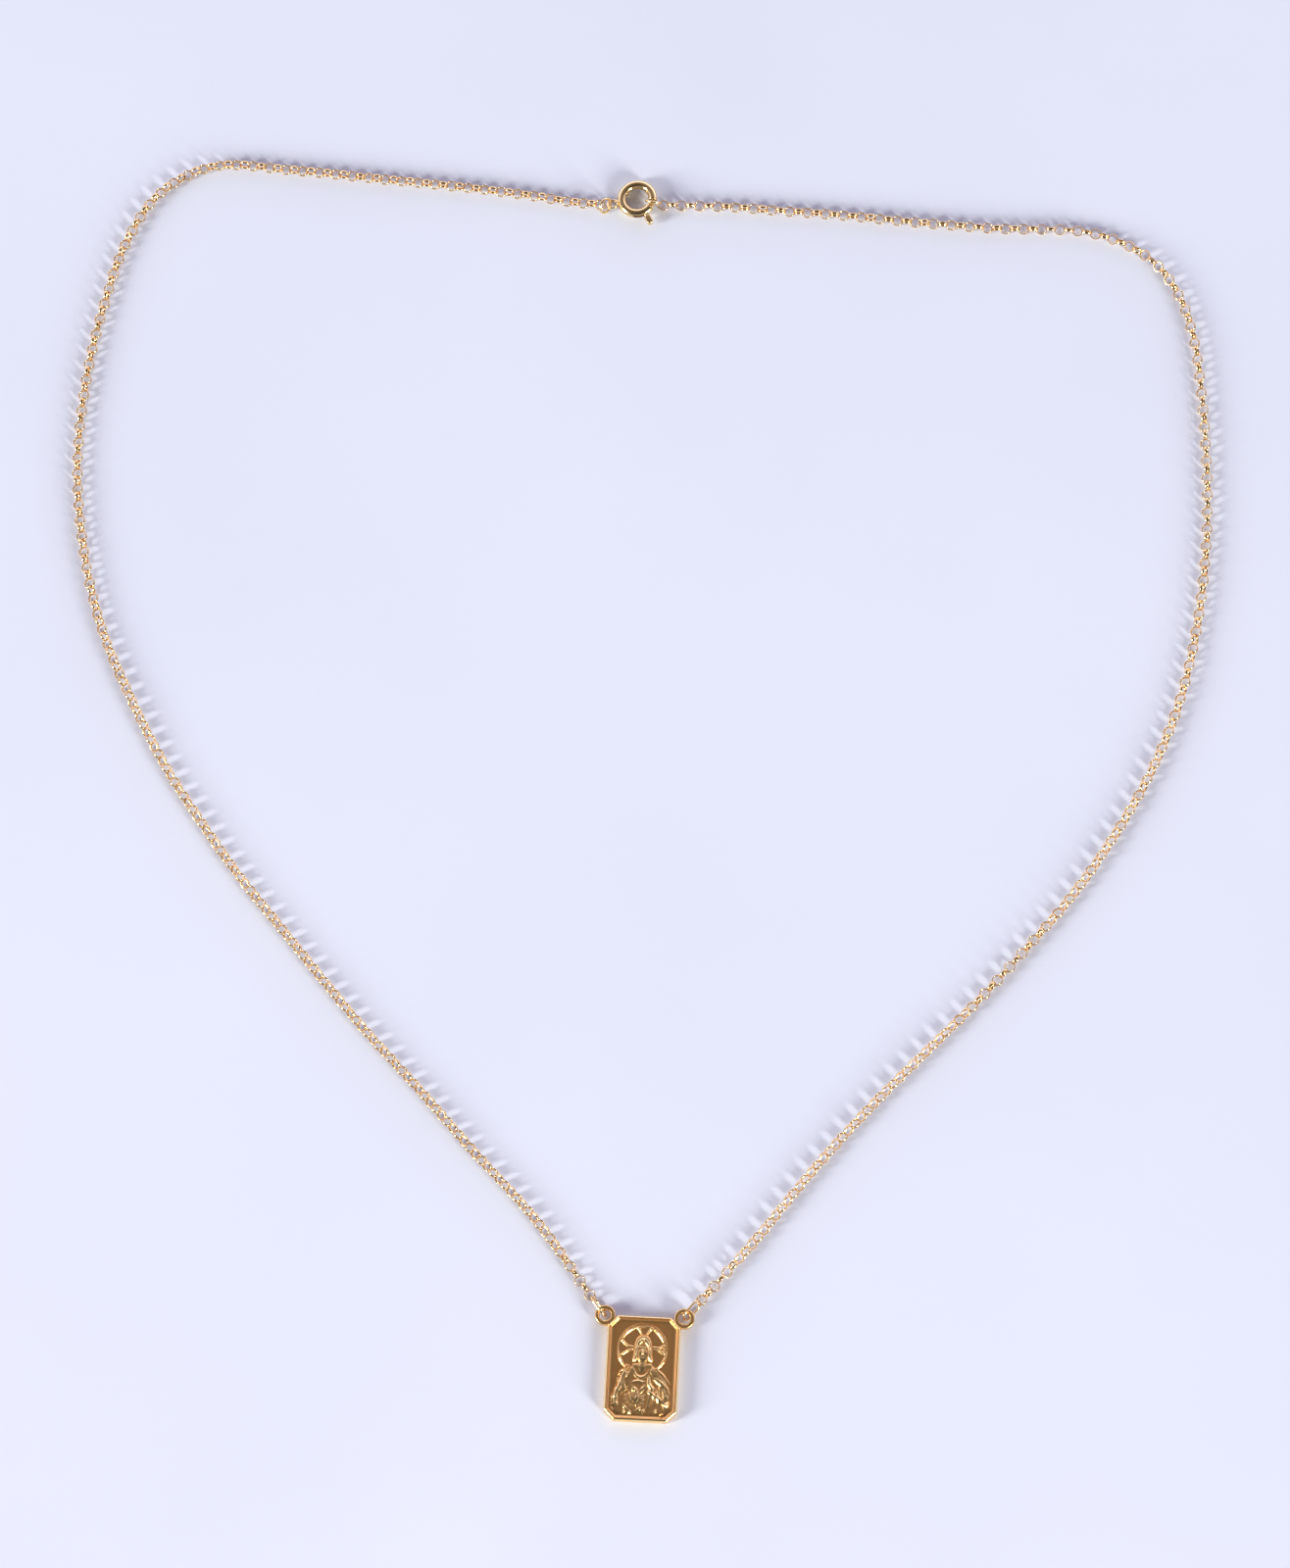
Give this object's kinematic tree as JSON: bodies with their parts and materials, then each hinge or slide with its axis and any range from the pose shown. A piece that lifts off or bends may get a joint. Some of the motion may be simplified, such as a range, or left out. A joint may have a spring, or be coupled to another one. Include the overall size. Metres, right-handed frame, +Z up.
{
  "type": "religious medal necklace",
  "caption": "Cast rectangular medal with cut corners, rim and haloed half figure in relief, hung by two ears on a fine link chain with a spring ring clasp.",
  "frame": {"origin": "centre of the loop's outline on the surface that the necklace lies on", "axes": "+Y from the medal to the clasp, +X to the right seen from the front of the medal, +Z up out of the medal's face"},
  "size_m": [0.1536, 0.177, 0.0021],
  "materials": {
    "medal_gold": "cast relief, gold plated, satin with brown in the recesses",
    "chain_gold": "polished gold plated wire",
    "clasp_gold": "polished gold plated tube"
  },
  "bodies": {
    "necklace": {"medal": "medal_gold", "end_link_left": "chain_gold", "end_link_right": "chain_gold", "chain_left": "chain_gold", "chain_right": "chain_gold", "jump_ring_left": "clasp_gold", "jump_ring_right": "clasp_gold", "clasp_ring": "clasp_gold"},
    "lever": {"clasp_lever": "clasp_gold"}
  },
  "joints": [
    {"name": "clasp_trigger", "type": "hinge", "parent": "necklace", "child": "lever", "pos_m": [-0.00066, 0.08272, 0.00082], "axis": [0.1045, 0, -0.9945], "range_deg": [0, 32], "stiffness_Nm_per_rad": 0.002, "springref_deg": -22.92}
  ]
}
